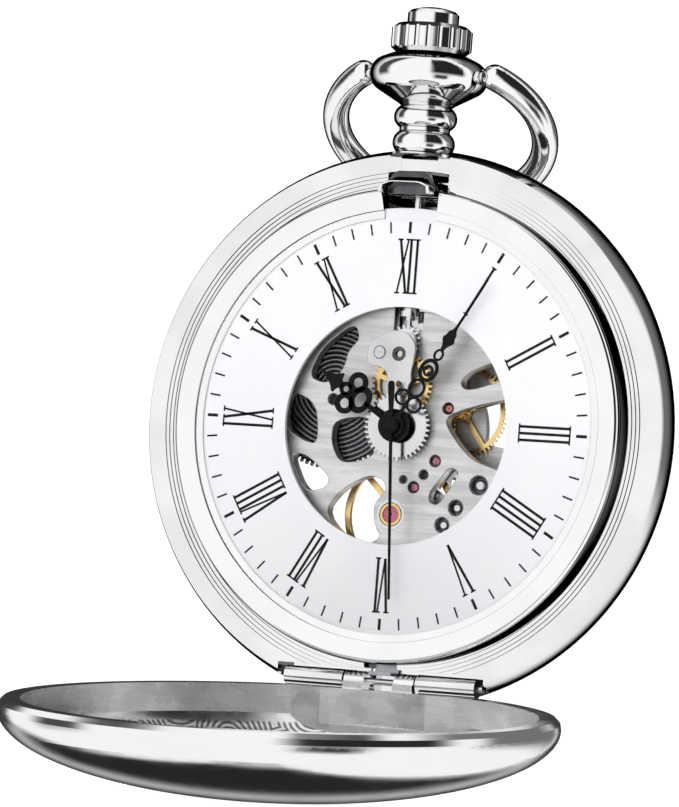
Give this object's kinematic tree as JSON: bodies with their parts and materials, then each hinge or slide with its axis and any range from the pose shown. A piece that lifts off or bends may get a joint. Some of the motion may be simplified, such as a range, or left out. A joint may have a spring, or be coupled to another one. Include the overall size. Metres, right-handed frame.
{
  "type": "hunter pocket watch",
  "caption": "Hunter pocket watch with a sprung hinged front cover, roman skeleton dial, open hand-wound movement, crown with cover-release button, and swinging bow.",
  "frame": {"origin": "centre of the case back, on the movement axis, in the plane the back rests on", "axes": "+X towards 3 o'clock, +Y out of the case back (the dial faces -Y), +Z towards 12 o'clock and the crown"},
  "size_m": [0.047, 0.0527, 0.0674],
  "materials": {
    "polished_steel": "polished",
    "crystal": "clear",
    "dial_white": "satin enamel",
    "brushed_plate": "brushed",
    "gilt_brass": "polished gilt",
    "bright_steel": "fine grained",
    "spring_steel": "tempered",
    "black_hands": "gloss black",
    "ruby": "polished stone",
    "screw_steel": "polished"
  },
  "bodies": {
    "case": {"back_bezel": "polished_steel", "back_crystal": "crystal", "balance_cock": "brushed_plate", "barrel_bridge": "brushed_plate", "bridge_screws": "screw_steel", "case_body": "polished_steel", "catch_spring": "spring_steel", "click_spring": "spring_steel", "dial": "dial_white", "front_bezel": "polished_steel", "front_crystal": "crystal", "hairspring": "spring_steel", "hinge_pin": "bright_steel", "jewels": "ruby", "lift_spring": "spring_steel", "main_plate": "brushed_plate", "movement_ring": "brushed_plate", "pallet_bridge": "brushed_plate", "pendant": "polished_steel", "regulator": "bright_steel", "setting_bridge": "brushed_plate", "setting_screw": "screw_steel", "stem_sleeve": "bright_steel", "train_bridge": "brushed_plate", "wheel_screws": "screw_steel"},
    "cover": {"cover_rim": "polished_steel", "cover_dome": "polished_steel"},
    "bow": {"bow": "polished_steel"},
    "winding_pinion": {"winding_pinion": "bright_steel"},
    "crown": {"crown": "polished_steel", "winding_stem": "bright_steel"},
    "clutch": {"clutch_wheel": "bright_steel"},
    "button": {"push_button": "polished_steel"},
    "catch": {"catch": "polished_steel"},
    "seconds": {"fourth_wheel": "gilt_brass", "second_hand": "black_hands"},
    "centre": {"centre_wheel": "gilt_brass", "cannon_pinion": "bright_steel", "minute_hand": "black_hands"},
    "third": {"third_wheel": "gilt_brass"},
    "barrel": {"barrel": "bright_steel", "barrel_cover": "bright_steel", "mainspring": "spring_steel"},
    "escape": {"escape_wheel": "bright_steel"},
    "minute_wheel": {"minute_wheel": "gilt_brass"},
    "hour": {"hour_wheel": "bright_steel", "hour_hand": "black_hands"},
    "setting_wheel": {"setting_wheel": "bright_steel"},
    "pallet": {"pallet_fork": "bright_steel"},
    "balance": {"balance_wheel": "gilt_brass", "balance_staff": "bright_steel"},
    "crown_wheel": {"crown_wheel": "bright_steel"},
    "ratchet": {"ratchet_wheel": "bright_steel", "barrel_arbor": "bright_steel", "ratchet_screw": "screw_steel"},
    "click": {"click": "bright_steel"},
    "setting_lever": {"setting_lever": "bright_steel"},
    "yoke": {"yoke": "bright_steel"}
  },
  "joints": [
    {"name": "cover_hinge", "type": "hinge", "parent": "case", "child": "cover", "pos_m": [0, -0.00595, -0.02145], "axis": [1, 0, 0], "range_deg": [-95.5, 0]},
    {"name": "bow_swing", "type": "hinge", "parent": "case", "child": "bow", "pos_m": [0, -0.006, 0.0297], "axis": [1, 0, 0], "range_deg": [0, 260]},
    {"name": "crown_spin", "type": "hinge", "parent": "case", "child": "winding_pinion", "pos_m": [0, -0.006, 0.011], "axis": [0, 0, 1], "continuous": true},
    {"name": "crown_pull", "type": "slide", "parent": "winding_pinion", "child": "crown", "axis": [0, 0, 1], "range_m": [0, 0.0009]},
    {"name": "clutch_shift", "type": "slide", "parent": "winding_pinion", "child": "clutch", "axis": [0, 0, 1], "range_m": [-0.0005, 0]},
    {"name": "button_press", "type": "slide", "parent": "crown", "child": "button", "axis": [0, 0, -1], "range_m": [0, 0.0012], "stiffness_N_per_m": 500},
    {"name": "catch_release", "type": "slide", "parent": "case", "child": "catch", "axis": [0, 0, -1], "range_m": [0, 0.0006]},
    {"name": "seconds_spin", "type": "hinge", "parent": "case", "child": "seconds", "pos_m": [0, -0.0032, 0], "axis": [0, 1, 0], "continuous": true},
    {"name": "centre_spin", "type": "hinge", "parent": "case", "child": "centre", "pos_m": [0, -0.0035, 0], "axis": [0, 1, 0], "continuous": true},
    {"name": "third_spin", "type": "hinge", "parent": "case", "child": "third", "pos_m": [0.00414, -0.0028, 0.00176], "axis": [0, 1, 0], "continuous": true},
    {"name": "barrel_spin", "type": "hinge", "parent": "case", "child": "barrel", "pos_m": [-0.0069, -0.0043, 0.00305], "axis": [0, 1, 0], "continuous": true},
    {"name": "escape_spin", "type": "hinge", "parent": "case", "child": "escape", "pos_m": [0.00334, -0.0047, -0.00269], "axis": [0, 1, 0], "continuous": true},
    {"name": "minute_wheel_spin", "type": "hinge", "parent": "case", "child": "minute_wheel", "pos_m": [0, -0.0066, 0.0035], "axis": [0, 1, 0], "continuous": true},
    {"name": "hour_spin", "type": "hinge", "parent": "case", "child": "hour", "pos_m": [0, -0.0069, 0], "axis": [0, 1, 0], "continuous": true},
    {"name": "setting_wheel_spin", "type": "hinge", "parent": "case", "child": "setting_wheel", "pos_m": [0, -0.0066, 0.00727], "axis": [0, 1, 0], "continuous": true},
    {"name": "pallet_swing", "type": "hinge", "parent": "case", "child": "pallet", "pos_m": [0.00157, -0.0047, -0.005], "axis": [0, 1, 0], "range_deg": [-8, 8]},
    {"name": "balance_swing", "type": "hinge", "parent": "case", "child": "balance", "pos_m": [-0.0003, -0.004, -0.0074], "axis": [0, 1, 0], "range_deg": [-270, 270], "stiffness_Nm_per_rad": 0.000001},
    {"name": "crown_wheel_spin", "type": "hinge", "parent": "case", "child": "crown_wheel", "pos_m": [0, -0.0015, 0.0089], "axis": [0, 1, 0], "continuous": true},
    {"name": "ratchet_spin", "type": "hinge", "parent": "case", "child": "ratchet", "pos_m": [-0.0069, -0.0015, 0.00305], "axis": [0, 1, 0], "continuous": true},
    {"name": "click_lift", "type": "hinge", "parent": "case", "child": "click", "pos_m": [-0.0132, -0.0015, 0.0072], "axis": [0, 1, 0], "range_deg": [-10, 0], "stiffness_Nm_per_rad": 0.0001},
    {"name": "setting_lever_turn", "type": "hinge", "parent": "case", "child": "setting_lever", "pos_m": [0.0032, -0.0064, 0.0122], "axis": [0, 1, 0], "range_deg": [0, 12.1]},
    {"name": "yoke_turn", "type": "hinge", "parent": "case", "child": "yoke", "pos_m": [0.0056, -0.0064, 0.0095], "axis": [0, 1, 0], "range_deg": [-7, 0]}
  ],
  "couplings": [
    {"joint": "centre_spin", "follows": "seconds_spin", "ratio": 0.016667},
    {"joint": "third_spin", "follows": "seconds_spin", "ratio": -0.13333},
    {"joint": "barrel_spin", "follows": "seconds_spin", "ratio": -0.0019841},
    {"joint": "escape_spin", "follows": "seconds_spin", "ratio": -10},
    {"joint": "minute_wheel_spin", "follows": "seconds_spin", "ratio": -0.0055556},
    {"joint": "hour_spin", "follows": "seconds_spin", "ratio": 0.0013889},
    {"joint": "setting_wheel_spin", "follows": "seconds_spin", "ratio": 0.0125},
    {"joint": "crown_wheel_spin", "follows": "crown_spin", "ratio": -0.6},
    {"joint": "ratchet_spin", "follows": "crown_spin", "ratio": 0.35556},
    {"joint": "clutch_shift", "follows": "crown_pull", "ratio": -0.55556},
    {"joint": "setting_lever_turn", "follows": "crown_pull", "rad_per_m": 232.67},
    {"joint": "yoke_turn", "follows": "crown_pull", "rad_per_m": -133.33},
    {"joint": "catch_release", "follows": "button_press", "ratio": 0.5}
  ]
}
